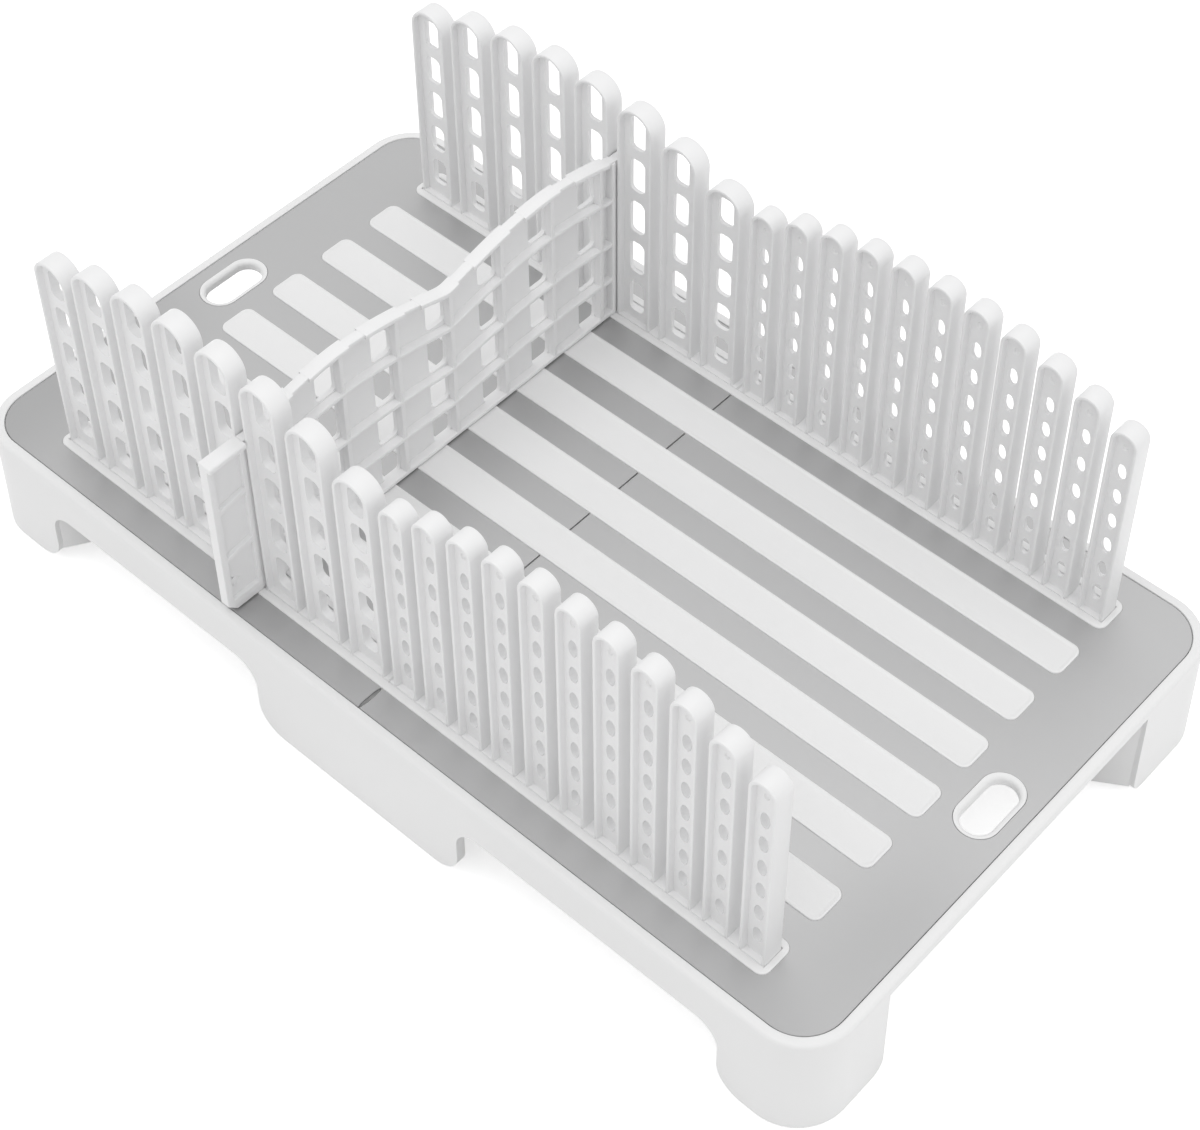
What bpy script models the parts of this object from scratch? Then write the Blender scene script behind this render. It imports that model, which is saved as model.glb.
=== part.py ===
# Bread slicing guide: a low white table with a two-part steel top, four plug-in finger combs whose gaps guide
# the knife, and a bread stop that drops into one gap. Metres, +Z up, origin at the middle of the footprint.
import math

import bmesh
import bpy

# Finger combs
HALF_FIELD = 0.132
WIDE_COUNT = 8
NARROW_COUNT = 11
KNIFE_GAP = 0.0037
FINGER_DEPTH = 0.0066
FINGER_WALL = 0.0011
WEB_THICKNESS = 0.0012
WIDE_CROWN = 0.0838
NARROW_CROWN = 0.0855
CROWN_RADIUS = 0.150
WIDE_HOLE_COUNT = 5
WIDE_HOLE_WIDTH = 0.0056
WIDE_HOLE_CORNER = 0.0020
WIDE_HOLE_BRIDGE = 0.0039
WIDE_HOLE_FIRST = 0.0095
WIDE_HOLE_TOP_DROP = 0.0089
NARROW_HOLE_WIDTH = 0.0030
NARROW_HOLE_HEIGHT = 0.0062
NARROW_HOLE_PITCH = 0.0094
NARROW_HOLE_FIRST = 0.0168
NARROW_HOLE_TOP_DROP = 0.0118
ROOT_DEPTH = 0.0120
ROOT_SHOULDER = 0.0004
TIP_SEGMENTS = 7

# Deck
DECK_HEIGHT = 0.038
STEEL_THICKNESS = 0.0006
BAR_COUNT = 6
BAR_PITCH = 0.0205
BAR_WIDTH = 0.0120
BAR_CORNER = 0.0026
BAR_STAND = 0.0002
SOCKET_BORDER = 0.0016
DECK_END_MARGIN = 0.0217
DECK_SIDE_MARGIN = 0.0086
DECK_CORNER = 0.0140
SEAM_GAP = 0.0006
HAND_HOLE_WIDTH = 0.0120
HAND_HOLE_LENGTH = 0.0220
HAND_HOLE_CORNER = 0.0058
HAND_HOLE_FROM_END = 0.0102

# Base moulding
CLEARANCE = 0.0003
RIM_WIDTH = 0.0030
RIM_STAND = 0.0003
RIM_ROUND = 0.0009
PLATE_THICKNESS = 0.0024
WALL = 0.0026
DRAFT_DEGREES = 0.9
FLOOR_CLEARANCE = 0.0005
SKIRT_DROP = 0.0140
END_RIM_DROP = 0.0034
CENTRE_FOOT_HALF = 0.0383
CORNER_FOOT_INNER = 0.1285
END_FOOT_INNER = 0.0590
ARCH_TOP_ROUND = 0.0080
ARCH_FOOT_ROUND = 0.0090
END_TOP_ROUND = 0.0015
END_FOOT_ROUND = 0.0045
SOCKET_WALL = 0.0015
SOCKET_FLOOR = 0.0015
RETURN_WALL = 0.0022
RETURN_REACH = 0.0090
RETURN_LEAN = 0.0055

# Foot pads
PAD_RADIUS = 0.0063
PAD_THICKNESS = 0.0013
PAD_STEM_RADIUS = 0.0034
PAD_STEM_LENGTH = 0.0050
POST_RADIUS = 0.0065
POST_FROM_END = 0.0120
POST_FROM_SIDE = 0.0118
CENTRE_POST_FROM_SIDE = 0.0075

# Bread stop
STOP_GAP_NUMBER = 5
STOP_DEPTH = 0.0044
STOP_WEB = 0.0014
STOP_TONGUE = 0.0026
STOP_CROWN = 0.0680
STOP_DIP = 0.0592
STOP_SHOULDER = 0.0648
STOP_CROWN_AT = 0.0470
STOP_DIP_ROUND = 0.0030
STOP_COMB_GAP = 0.0006
STOP_RIM = 0.0015
STOP_RIB = 0.0017
STOP_WINDOW_WIDTH = 0.0060
STOP_WINDOW_SHIFT = -0.0064
STOP_WINDOW_MARGIN = 0.0018
STOP_ROWS = (0.235, 0.46, 0.735, 1.0)
WING_REACH = 0.0146
WING_HEIGHT = 0.0605
WING_CHAMFER = 0.0040
WING_EDGE = 0.0024
WING_RAILS = (0.39, 0.71)
WING_HOLE = 0.0052

# How far a cutter runs past the face that it cuts
OVERSHOOT = 0.003

# Sizes worked out from the ones above
WIDE_PITCH = HALF_FIELD / WIDE_COUNT
NARROW_PITCH = HALF_FIELD / NARROW_COUNT
COMB_Y = BAR_PITCH * (BAR_COUNT + 1) / 2
ROOT_END = HALF_FIELD - KNIFE_GAP / 2
SOCKET_HALF = ROOT_END + CLEARANCE
BAR_HALF = SOCKET_HALF + SOCKET_BORDER
SOCKET_HALF_WIDTH = FINGER_DEPTH / 2 + ROOT_SHOULDER + CLEARANCE
STEEL_HALF_LENGTH = BAR_HALF + DECK_END_MARGIN
STEEL_HALF_WIDTH = COMB_Y + BAR_WIDTH / 2 + DECK_SIDE_MARGIN
RECESS_FLOOR = DECK_HEIGHT - STEEL_THICKNESS - CLEARANCE
PLATE_UNDER = RECESS_FLOOR - PLATE_THICKNESS
RIM_TOP = DECK_HEIGHT + RIM_STAND
BAR_TOP = DECK_HEIGHT + BAR_STAND
BASE_HALF_LENGTH = STEEL_HALF_LENGTH + CLEARANCE + RIM_WIDTH
BASE_HALF_WIDTH = STEEL_HALF_WIDTH + CLEARANCE + RIM_WIDTH
BASE_CORNER = DECK_CORNER + CLEARANCE + RIM_WIDTH
HAND_HOLE_X = STEEL_HALF_LENGTH - HAND_HOLE_FROM_END
SOCKET_BOTTOM = BAR_TOP - ROOT_DEPTH - CLEARANCE
STOP_X = -HALF_FIELD + STOP_GAP_NUMBER * WIDE_PITCH
STOP_FOOT = BAR_TOP + CLEARANCE
DRAFT = math.tan(math.radians(DRAFT_DEGREES))


def clear_scene():
    for item in list(bpy.data.objects):
        bpy.data.objects.remove(item, do_unlink=True)


def make_material(name, colour, roughness, metallic=0.0):
    material = bpy.data.materials.new(name)
    material.use_nodes = True
    shader = material.node_tree.nodes["Principled BSDF"]
    shader.inputs["Base Color"].default_value = (*colour, 1.0)
    shader.inputs["Roughness"].default_value = roughness
    shader.inputs["Metallic"].default_value = metallic
    material.diffuse_color = (*colour, 1.0)
    return material


def finish(name, shape, material=None, cutter=False, parent=None):
    bmesh.ops.remove_doubles(shape, verts=shape.verts, dist=1e-7)
    bmesh.ops.recalc_face_normals(shape, faces=shape.faces)
    mesh = bpy.data.meshes.new(name)
    shape.to_mesh(mesh)
    shape.free()
    item = bpy.data.objects.new(name, mesh)
    bpy.context.collection.objects.link(item)
    if material:
        mesh.materials.append(material)
        mesh.shade_smooth()
        mesh.set_sharp_from_angle(angle=math.radians(30))
    if cutter:
        item.hide_render = True
        item.display_type = "WIRE"
    if parent:
        item.parent = parent
    return item


def combine(item, tool, operation):
    step = item.modifiers.new(tool.name, "BOOLEAN")
    step.operation = operation
    step.solver = "EXACT"
    step.object = tool


def arc(centre, radius, start, end, segments):
    # Points on an arc in the plane, from one angle to the other in degrees
    points = []
    for step in range(segments + 1):
        angle = math.radians(start + (end - start) * step / segments)
        points.append((centre[0] + radius * math.cos(angle), centre[1] + radius * math.sin(angle)))
    return points


def rounded_rectangle(half_x, half_y, radius, segments, centre=(0.0, 0.0)):
    outline = []
    for turn, (side_x, side_y) in enumerate(((1, 1), (-1, 1), (-1, -1), (1, -1))):
        corner = (centre[0] + side_x * (half_x - radius), centre[1] + side_y * (half_y - radius))
        outline += arc(corner, radius, 90 * turn, 90 * turn + 90, segments)
    return outline


def add_loft(shape, rings):
    # A closed solid through rings of matching points
    loops = [[shape.verts.new(point) for point in ring] for ring in rings]
    count = len(loops[0])
    for lower, upper in zip(loops, loops[1:]):
        for index in range(count):
            after = (index + 1) % count
            shape.faces.new((lower[index], lower[after], upper[after], upper[index]))
    shape.faces.new(list(reversed(loops[0])))
    shape.faces.new(loops[-1])


def add_upright(shape, outline, bottom, top):
    add_loft(shape, [[(x, y, z) for x, y in outline] for z in (bottom, top)])


def add_along_y(shape, outline, near, far):
    # The outline is in X and Z
    add_loft(shape, [[(x, y, z) for x, z in outline] for y in (far, near)])


def add_along_x(shape, outline, left, right):
    # The outline is in Y and Z
    add_loft(shape, [[(x, y, z) for y, z in outline] for x in (left, right)])


def add_block(shape, low, high):
    outline = [(low[0], low[1]), (high[0], low[1]), (high[0], high[1]), (low[0], high[1])]
    add_upright(shape, outline, low[2], high[2])


def skirt_ring(level, inset=0.0):
    # The drafted outside of the base at one height, moved in by an inset
    spread = (RIM_TOP - level) * DRAFT - inset
    outline = rounded_rectangle(BASE_HALF_LENGTH + spread, BASE_HALF_WIDTH + spread, BASE_CORNER + spread, 6)
    return [(x, y, level) for x, y in outline]


def arch_outline(inner, outer, edge, top_round, foot_round):
    # The gap between two feet: rounded at its top corners, flared where it meets the floor
    floor = FLOOR_CLEARANCE
    outline = [(inner - foot_round, -OVERSHOOT), (outer + foot_round, -OVERSHOOT)]
    outline += arc((outer + foot_round, floor + foot_round), foot_round, 270, 180, 4)
    outline += arc((outer - top_round, edge - top_round), top_round, 0, 90, 4)
    outline += arc((inner + top_round, edge - top_round), top_round, 90, 180, 4)
    outline += arc((inner - foot_round, floor + foot_round), foot_round, 0, -90, 4)
    return outline


def slot_centres():
    return [(index - (BAR_COUNT + 1) / 2) * BAR_PITCH for index in range(BAR_COUNT + 2)]


def pad_places():
    corner_x = BASE_HALF_LENGTH - WALL - POST_FROM_END
    corner_y = BASE_HALF_WIDTH - WALL - POST_FROM_SIDE
    centre_y = BASE_HALF_WIDTH - WALL - CENTRE_POST_FROM_SIDE
    return [(-corner_x, -corner_y), (corner_x, -corner_y), (corner_x, corner_y), (-corner_x, corner_y),
            (0.0, -centre_y), (0.0, centre_y)]


def circle(centre, radius, segments):
    return arc(centre, radius, 0, 360 - 360 / segments, segments - 1)


def make_base(material):
    body = bmesh.new()
    add_loft(body, [skirt_ring(FLOOR_CLEARANCE, RIM_ROUND / 2), skirt_ring(FLOOR_CLEARANCE + RIM_ROUND),
                    skirt_ring(RIM_TOP - RIM_ROUND), skirt_ring(RIM_TOP, RIM_ROUND)])
    base = finish("base_frame", body, material)

    hollow = bmesh.new()
    add_loft(hollow, [skirt_ring(-OVERSHOOT, WALL), skirt_ring(PLATE_UNDER, WALL)])
    combine(base, finish("cut_hollow", hollow, cutter=True), "DIFFERENCE")

    arches = bmesh.new()
    edge = DECK_HEIGHT - SKIRT_DROP
    reach = BASE_HALF_WIDTH + RIM_TOP
    for side in (-1, 1):
        low, high = sorted((side * CENTRE_FOOT_HALF, side * CORNER_FOOT_INNER))
        add_along_y(arches, arch_outline(low, high, edge, ARCH_TOP_ROUND, ARCH_FOOT_ROUND), -reach, reach)
    combine(base, finish("cut_side_arches", arches, cutter=True), "DIFFERENCE")

    ends = bmesh.new()
    reach = BASE_HALF_LENGTH + RIM_TOP
    edge = RIM_TOP - END_RIM_DROP
    outline = arch_outline(-END_FOOT_INNER, END_FOOT_INNER, edge, END_TOP_ROUND, END_FOOT_ROUND)
    inside = BASE_HALF_LENGTH - WALL * 2
    add_along_x(ends, outline, -reach, -inside)
    add_along_x(ends, outline, inside, reach)
    combine(base, finish("cut_end_grips", ends, cutter=True), "DIFFERENCE")

    recess = bmesh.new()
    half_x = STEEL_HALF_LENGTH + CLEARANCE
    half_y = STEEL_HALF_WIDTH + CLEARANCE
    outline = rounded_rectangle(half_x, half_y, DECK_CORNER + CLEARANCE, 6)
    add_upright(recess, outline, RECESS_FLOOR, RIM_TOP + OVERSHOOT)
    combine(base, finish("cut_recess", recess, cutter=True), "DIFFERENCE")

    bars = bmesh.new()
    for y in slot_centres():
        outline = rounded_rectangle(BAR_HALF, BAR_WIDTH / 2, BAR_CORNER, 2, (0.0, y))
        add_upright(bars, outline, PLATE_UNDER + PLATE_THICKNESS / 2, BAR_TOP)
    combine(base, finish("add_bars", bars, cutter=True), "UNION")

    troughs = bmesh.new()
    half_x = SOCKET_HALF + SOCKET_WALL
    half_y = SOCKET_HALF_WIDTH + SOCKET_WALL
    low = SOCKET_BOTTOM - SOCKET_FLOOR
    high = PLATE_UNDER + PLATE_THICKNESS / 2
    for side in (-1, 1):
        y = side * COMB_Y
        add_block(troughs, (-half_x, y - half_y, low), (half_x, y + half_y, high))
    combine(base, finish("add_socket_troughs", troughs, cutter=True), "UNION")

    posts = bmesh.new()
    for place in pad_places():
        outline = circle(place, POST_RADIUS, 16)
        add_upright(posts, outline, PAD_THICKNESS + CLEARANCE, PLATE_UNDER + PLATE_THICKNESS / 3)
    combine(base, finish("add_pad_posts", posts, cutter=True), "UNION")

    returns = make_returns()
    combine(base, returns, "UNION")

    holes = bmesh.new()
    for side in (-1, 1):
        add_block(holes, (-SOCKET_HALF, side * COMB_Y - SOCKET_HALF_WIDTH, SOCKET_BOTTOM),
                  (SOCKET_HALF, side * COMB_Y + SOCKET_HALF_WIDTH, RIM_TOP + OVERSHOOT))
        outline = hand_hole_outline(side, -CLEARANCE * 2)
        add_upright(holes, outline, PLATE_UNDER - OVERSHOOT, RIM_TOP + OVERSHOOT)
    for place in pad_places():
        outline = circle(place, PAD_STEM_RADIUS + CLEARANCE, 12)
        add_upright(holes, outline, -OVERSHOOT, PAD_THICKNESS + PAD_STEM_LENGTH + CLEARANCE)
    combine(base, finish("cut_sockets_and_holes", holes, cutter=True), "DIFFERENCE")
    return base


def make_returns():
    # Thin walls that run in from the edges of the feet and stiffen them
    shape = bmesh.new()
    top = PLATE_UNDER + PLATE_THICKNESS / 4
    bottom = FLOOR_CLEARANCE + ARCH_FOOT_ROUND / 4
    face = BASE_HALF_WIDTH - WALL / 2
    end_face = BASE_HALF_LENGTH - WALL / 2
    for side_x in (-1, 1):
        for side_y in (-1, 1):
            edge_x = side_x * (CORNER_FOOT_INNER + RETURN_WALL)
            start = (edge_x, side_y * face)
            end = (edge_x - side_x * RETURN_LEAN, side_y * (face - RETURN_REACH))
            add_upright(shape, slanted_wall(start, end, RETURN_WALL), bottom, top)
            edge_y = side_y * (END_FOOT_INNER + RETURN_WALL)
            start = (side_x * end_face, edge_y)
            end = (side_x * (end_face - RETURN_REACH), edge_y - side_y * RETURN_LEAN)
            add_upright(shape, slanted_wall(start, end, RETURN_WALL), bottom, top)
            edge_x = side_x * (CENTRE_FOOT_HALF - RETURN_WALL * 0.6)
            start = (edge_x, side_y * face)
            end = (edge_x, side_y * (face - RETURN_REACH))
            add_upright(shape, slanted_wall(start, end, RETURN_WALL), bottom, top)
    return finish("add_returns", shape, cutter=True)


def slanted_wall(start, end, thickness):
    run = (end[0] - start[0], end[1] - start[1])
    length = math.hypot(*run)
    across = (-run[1] / length * thickness / 2, run[0] / length * thickness / 2)
    return [(start[0] - across[0], start[1] - across[1]), (end[0] - across[0], end[1] - across[1]),
            (end[0] + across[0], end[1] + across[1]), (start[0] + across[0], start[1] + across[1])]


def hand_hole_outline(side, grow=0.0):
    half_x = HAND_HOLE_WIDTH / 2 + grow
    half_y = HAND_HOLE_LENGTH / 2 + grow
    return rounded_rectangle(half_x, half_y, HAND_HOLE_CORNER + grow, 4, (side * HAND_HOLE_X, 0.0))


def make_steel(name, side, material):
    # One half of the deck: a sheet with one straight edge at the seam
    sheet = bmesh.new()
    inner = side * SEAM_GAP / 2
    outer_centre = side * (STEEL_HALF_LENGTH - DECK_CORNER)
    outline = [(inner, -STEEL_HALF_WIDTH)]
    for y_side in (-1, 1):
        corner = (outer_centre, y_side * (STEEL_HALF_WIDTH - DECK_CORNER))
        turn = arc(corner, DECK_CORNER, -90 if y_side < 0 else 0, 0 if y_side < 0 else 90, 6)
        outline += [(corner[0] + side * (x - corner[0]), y) for x, y in turn]
    outline.append((inner, STEEL_HALF_WIDTH))
    add_upright(sheet, outline, DECK_HEIGHT - STEEL_THICKNESS, DECK_HEIGHT)
    steel = finish(name, sheet, material)

    slots = bmesh.new()
    for y in slot_centres():
        half_y = BAR_WIDTH / 2 + CLEARANCE
        outline = rounded_rectangle(BAR_HALF + CLEARANCE, half_y, BAR_CORNER + CLEARANCE, 2, (0.0, y))
        add_upright(slots, outline, DECK_HEIGHT - OVERSHOOT, DECK_HEIGHT + OVERSHOOT)
    add_upright(slots, hand_hole_outline(side), DECK_HEIGHT - OVERSHOOT, DECK_HEIGHT + OVERSHOOT)
    combine(steel, finish("cut_slots_" + name, slots, cutter=True), "DIFFERENCE")
    return steel


def finger_rows(kind):
    # Centre, top and width of each finger of one comb section
    if kind == "wide":
        count, pitch, crown, side = WIDE_COUNT, WIDE_PITCH, WIDE_CROWN, -1
    else:
        count, pitch, crown, side = NARROW_COUNT, NARROW_PITCH, NARROW_CROWN, 1
    fingers = []
    for index in range(count):
        offset = (index - (count - 1) / 2) * pitch
        drop = CROWN_RADIUS - math.sqrt(CROWN_RADIUS ** 2 - offset ** 2)
        fingers.append((side * HALF_FIELD / 2 + offset, DECK_HEIGHT + crown - drop, pitch - KNIFE_GAP))
    return fingers


def comb_outline(fingers, inner_end):
    # Seen from the front: the root's ends, then over every finger from right to left
    bottom = BAR_TOP - ROOT_DEPTH / 2
    first, last = fingers[0], fingers[-1]
    left = min(first[0] - first[2] / 2, inner_end)
    right = max(last[0] + last[2] / 2, inner_end)
    outline = [(left, bottom), (right, bottom)]
    if inner_end == right:
        outline.append((right, BAR_TOP))
    for x, top, width in reversed(fingers):
        if (x + width / 2) < right:
            outline.append((x + width / 2, BAR_TOP))
        outline += arc((x, top - width / 2), width / 2, 0, 180, TIP_SEGMENTS)
        if (x - width / 2) > left:
            outline.append((x - width / 2, BAR_TOP))
    if inner_end == left:
        outline.append((left, BAR_TOP))
    return outline


def hole_outlines(kind, x, top):
    outlines = []
    if kind == "wide":
        first = DECK_HEIGHT + WIDE_HOLE_FIRST
        pitch = (top - WIDE_HOLE_TOP_DROP - first) / (WIDE_HOLE_COUNT - 1)
        half_x = WIDE_HOLE_WIDTH / 2
        half_z = (pitch - WIDE_HOLE_BRIDGE) / 2
        for index in range(WIDE_HOLE_COUNT):
            centre = (x, first + index * pitch)
            outlines.append(rounded_rectangle(half_x, half_z, WIDE_HOLE_CORNER, 1, centre))
        return outlines
    first = DECK_HEIGHT + NARROW_HOLE_FIRST
    room = top - NARROW_HOLE_TOP_DROP - first
    gaps = round(room / NARROW_HOLE_PITCH)
    half_x = NARROW_HOLE_WIDTH / 2
    straight = NARROW_HOLE_HEIGHT / 2 - half_x
    for index in range(gaps + 1):
        z = first + index * room / gaps
        outline = arc((x, z + straight), half_x, 0, 180, 2)
        outlines.append(outline + arc((x, z - straight), half_x, 180, 360, 2))
    return outlines


def make_comb(name, kind, side, material, carrier):
    y = side * COMB_Y
    fingers = finger_rows(kind)
    inner_end = -CLEARANCE if kind == "wide" else CLEARANCE
    shape = bmesh.new()
    add_along_y(shape, comb_outline(fingers, inner_end), -FINGER_DEPTH / 2, FINGER_DEPTH / 2)
    comb = finish(name, shape, material, parent=carrier)

    root = bmesh.new()
    low_x, high_x = sorted((inner_end, inner_end / abs(inner_end) * ROOT_END))
    half = FINGER_DEPTH / 2 + ROOT_SHOULDER
    add_block(root, (low_x, -half, BAR_TOP - ROOT_DEPTH), (high_x, half, BAR_TOP - ROOT_SHOULDER))
    combine(comb, finish("add_root_" + name, root, cutter=True, parent=carrier), "UNION")

    recesses = bmesh.new()
    for x, top, width in fingers:
        inner = width / 2 - FINGER_WALL
        floor = BAR_TOP + FINGER_WALL
        outline = [(x - inner, floor), (x + inner, floor)]
        outline += arc((x, top - width / 2), inner, 0, 180, TIP_SEGMENTS - 2)
        for face in (-1, 1):
            near, far = sorted((face * WEB_THICKNESS / 2, face * FINGER_DEPTH))
            add_along_y(recesses, outline, near, far)
    combine(comb, finish("cut_recesses_" + name, recesses, cutter=True, parent=carrier), "DIFFERENCE")

    holes = bmesh.new()
    for x, top, width in fingers:
        for outline in hole_outlines(kind, x, top):
            add_along_y(holes, outline, -FINGER_DEPTH, FINGER_DEPTH)
    combine(comb, finish("cut_holes_" + name, holes, cutter=True, parent=carrier), "DIFFERENCE")
    carrier.location = (0.0, y, 0.0)
    return comb


def stop_top(y):
    # Height of the bread stop's edge above the deck: two humps with a dip between them
    across = math.hypot(y, STOP_DIP_ROUND) - STOP_DIP_ROUND
    if across <= STOP_CROWN_AT:
        return STOP_DIP + (STOP_CROWN - STOP_DIP) * math.sin(math.pi / 2 * across / STOP_CROWN_AT)
    share = (across - STOP_CROWN_AT) / (COMB_Y - FINGER_DEPTH / 2 - STOP_CROWN_AT)
    return STOP_CROWN - (STOP_CROWN - STOP_SHOULDER) * share ** 2


def stop_level(y, share):
    return STOP_FOOT + (DECK_HEIGHT + stop_top(y) - STOP_FOOT) * share


def stop_outline(face, back, tip):
    outline = [(tip + WING_CHAMFER, STOP_FOOT), (back, STOP_FOOT)]
    steps = 18
    for step in range(steps + 1):
        y = face * (1 - 2 * step / steps)
        if step == 0:
            outline.append((back, DECK_HEIGHT + stop_top(y)))
        outline.append((y, DECK_HEIGHT + stop_top(y)))
    wing_top = DECK_HEIGHT + WING_HEIGHT
    outline += [(-back, wing_top), (tip, wing_top), (tip, STOP_FOOT + WING_CHAMFER)]
    return outline


def stop_columns():
    # The stop's ribs stand over the middles of the gaps between the bars
    half_count = BAR_COUNT // 2
    return [index * BAR_PITCH for index in range(-half_count, half_count + 1)]


def stop_pockets(face):
    # The cells between the stop's ribs and rails
    ribs = [y for y in stop_columns() if abs(y) < face - STOP_RIB]
    sides = [-face] + ribs + [face]
    cells = []
    for low_y, high_y in zip(sides, sides[1:]):
        low = low_y + STOP_RIB / 2
        high = high_y - STOP_RIB / 2
        for bottom, top in zip((0.0,) + STOP_ROWS, STOP_ROWS):
            floor = STOP_RIM if bottom == 0.0 else STOP_RIM / 2
            roof = STOP_RIM if top == STOP_ROWS[-1] else STOP_RIM / 2
            cell = [(y, stop_level(y, bottom) + floor) for y in (low, high)]
            cell += [(y, stop_level(y, top) - roof) for y in (high, low)]
            cells.append(cell)
    return cells


def stop_windows(face):
    windows = []
    half = STOP_WINDOW_WIDTH / 2
    for column in stop_columns():
        y = column + STOP_WINDOW_SHIFT
        if abs(y) + half > face - STOP_RIB:
            continue
        for bottom, top in zip((0.0,) + STOP_ROWS, STOP_ROWS):
            low = max(stop_level(y - half, bottom), stop_level(y + half, bottom)) + STOP_WINDOW_MARGIN
            high = min(stop_level(y - half, top), stop_level(y + half, top)) - STOP_WINDOW_MARGIN
            outline = [(y + half, high), (y - half, high)]
            outline += arc((y, low + half), half, 180, 360, 3)
            windows.append(outline)
    return windows


def make_stop(material, carrier):
    face = COMB_Y - FINGER_DEPTH / 2 - STOP_COMB_GAP
    back = COMB_Y + FINGER_DEPTH / 2
    tip = -(back + WING_REACH)
    wing_root = -(back + STOP_COMB_GAP)
    half = STOP_DEPTH / 2
    shape = bmesh.new()
    add_along_x(shape, stop_outline(face, back, tip), -half, half)
    stop = finish("bread_stop", shape, material, parent=carrier)

    cuts = bmesh.new()
    top = DECK_HEIGHT + STOP_CROWN + OVERSHOOT
    for side in (-1, 1):
        near, far = sorted((side * STOP_TONGUE / 2, side * STOP_DEPTH))
        add_block(cuts, (near, wing_root, STOP_FOOT - OVERSHOOT), (far, -face, top))
        add_block(cuts, (near, face, STOP_FOOT - OVERSHOOT), (far, back + OVERSHOOT, top))
        near, far = sorted((side * STOP_WEB / 2, side * STOP_DEPTH))
        for cell in stop_pockets(face):
            add_along_x(cuts, cell, near, far)
        levels = (0.0,) + WING_RAILS + (1.0,)
        for bottom, upper in zip(levels, levels[1:]):
            low = DECK_HEIGHT + WING_HEIGHT * bottom + (WING_CHAMFER if bottom == 0.0 else STOP_RIM / 2)
            high = DECK_HEIGHT + WING_HEIGHT * upper - (STOP_RIM if upper == 1.0 else STOP_RIM / 2)
            add_block(cuts, (near, tip + WING_EDGE, low), (far, wing_root - STOP_RIB, high))
    combine(stop, finish("cut_pockets", cuts, cutter=True, parent=carrier), "DIFFERENCE")

    windows = bmesh.new()
    for outline in stop_windows(face):
        add_along_x(windows, outline, -STOP_DEPTH, STOP_DEPTH)
    y = (tip + wing_root) / 2
    z = DECK_HEIGHT + WING_HEIGHT * WING_RAILS[0] / 2
    left = y - WING_HOLE / 4
    triangle = [(left, z - WING_HOLE / 2), (left + WING_HOLE / 2, z), (left, z + WING_HOLE / 2)]
    add_along_x(windows, triangle, -STOP_DEPTH, STOP_DEPTH)
    combine(stop, finish("cut_windows", windows, cutter=True, parent=carrier), "DIFFERENCE")
    carrier.location = (STOP_X, 0.0, 0.0)
    return stop


def make_pads(material):
    for number, place in enumerate(pad_places(), 1):
        shape = bmesh.new()
        add_upright(shape, circle((0.0, 0.0), PAD_RADIUS, 16), 0.0, PAD_THICKNESS)
        pad = finish("foot_pad_%d" % number, shape, material)
        stem = bmesh.new()
        outline = circle((0.0, 0.0), PAD_STEM_RADIUS, 12)
        add_upright(stem, outline, PAD_THICKNESS / 2, PAD_THICKNESS + PAD_STEM_LENGTH)
        tool = finish("add_stem_%d" % number, stem, cutter=True)
        combine(pad, tool, "UNION")
        pad.location = (*place, 0.0)
        tool.location = (*place, 0.0)


def make_carrier(name):
    carrier = bpy.data.objects.new(name, None)
    bpy.context.collection.objects.link(carrier)
    return carrier


def main():
    clear_scene()
    white = make_material("white_plastic", (0.86, 0.86, 0.86), 0.38)
    comb_white = make_material("comb_plastic", (0.84, 0.84, 0.85), 0.42)
    steel = make_material("brushed_steel", (0.62, 0.62, 0.63), 0.34, 1.0)
    rubber = make_material("pad_rubber", (0.30, 0.30, 0.31), 0.8)
    make_base(white)
    make_steel("steel_deck_left", -1, steel)
    make_steel("steel_deck_right", 1, steel)
    for side, place in ((-1, "front"), (1, "back")):
        for kind in ("wide", "narrow"):
            name = "comb_%s_%s" % (place, kind)
            make_comb(name, kind, side, comb_white, make_carrier(name + "_lift"))
    make_stop(comb_white, make_carrier("bread_stop_lift"))
    make_pads(rubber)


main()
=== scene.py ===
import math

import bmesh
import bpy
from mathutils import Matrix, Vector


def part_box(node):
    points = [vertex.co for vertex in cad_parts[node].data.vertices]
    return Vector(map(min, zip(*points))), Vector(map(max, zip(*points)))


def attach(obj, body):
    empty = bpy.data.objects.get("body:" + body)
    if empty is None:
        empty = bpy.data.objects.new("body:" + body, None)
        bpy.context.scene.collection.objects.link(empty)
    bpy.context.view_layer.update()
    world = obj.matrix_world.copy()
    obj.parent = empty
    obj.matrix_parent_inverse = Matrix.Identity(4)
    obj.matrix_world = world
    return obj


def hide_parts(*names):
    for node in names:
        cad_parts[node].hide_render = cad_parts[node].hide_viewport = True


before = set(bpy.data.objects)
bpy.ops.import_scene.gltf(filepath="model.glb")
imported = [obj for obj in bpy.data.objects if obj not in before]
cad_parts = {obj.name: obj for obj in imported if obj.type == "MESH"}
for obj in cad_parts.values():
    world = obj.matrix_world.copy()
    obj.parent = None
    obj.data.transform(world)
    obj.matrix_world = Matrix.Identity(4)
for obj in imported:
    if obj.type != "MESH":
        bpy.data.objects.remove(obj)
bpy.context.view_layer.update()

# Bread slicing guide: a low white table with a steel top, finger combs along both sides and a bread stop.
# Metres, Z up, origin in the middle of the footprint.

tiny = 0.00002              # coordinates closer than this count as one
past = 0.01                 # how far a cutter reaches beyond what it cuts

steelLow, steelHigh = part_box("steel_deck_right")
combLow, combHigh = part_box("comb_back_narrow")
stopLow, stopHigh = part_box("bread_stop")

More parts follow.
